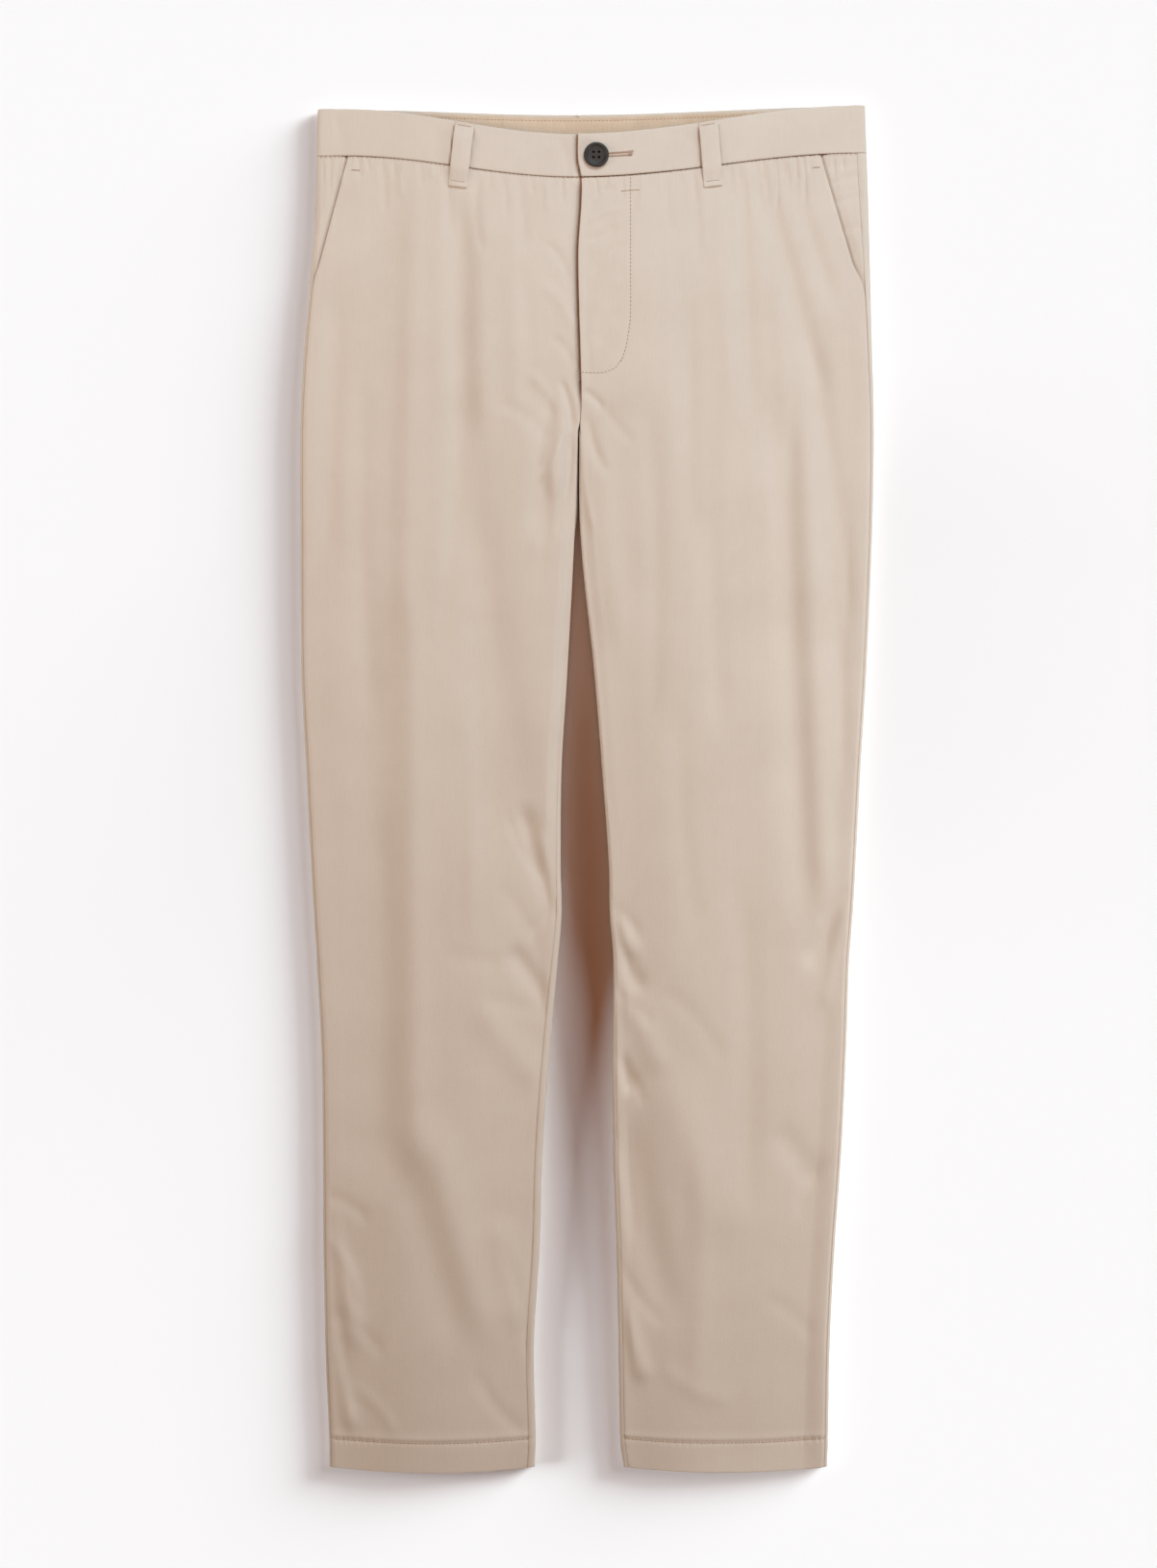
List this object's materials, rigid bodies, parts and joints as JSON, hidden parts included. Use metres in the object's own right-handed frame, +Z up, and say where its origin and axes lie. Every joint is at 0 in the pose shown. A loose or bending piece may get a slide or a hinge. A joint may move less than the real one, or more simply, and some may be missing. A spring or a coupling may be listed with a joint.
{
  "type": "chino trousers",
  "caption": "Straight-leg chino trousers laid flat, front up, with slanted pockets, belt loops and a buttoned waistband over a closed fly.",
  "frame": {"origin": "middle of the garment's outline, on the surface that it lies on", "axes": "+Y towards the waist, +Z up out of the front of the garment, +X towards the wearer's left leg"},
  "size_m": [0.4481, 1.066, 0.0218],
  "materials": {
    "shell_cloth": "fine cotton twill with a soft sheen",
    "facing_cloth": "plain cotton waistband facing, matte",
    "button_resin": "dark grey moulded resin, satin"
  },
  "bodies": {
    "root": {"front_right": "shell_cloth", "front_left": "shell_cloth", "back_right": "shell_cloth", "back_left": "shell_cloth", "pocket_facing_right": "shell_cloth", "pocket_facing_left": "shell_cloth", "waistband_right": "shell_cloth", "waistband_left": "shell_cloth", "fly_shield": "shell_cloth", "waistband_facing": "facing_cloth", "belt_loop_front_right": "shell_cloth", "belt_loop_front_left": "shell_cloth", "belt_loop_back_right": "shell_cloth", "belt_loop_back_centre": "shell_cloth", "belt_loop_back_left": "shell_cloth", "waist_button": "button_resin"}
  },
  "joints": []
}
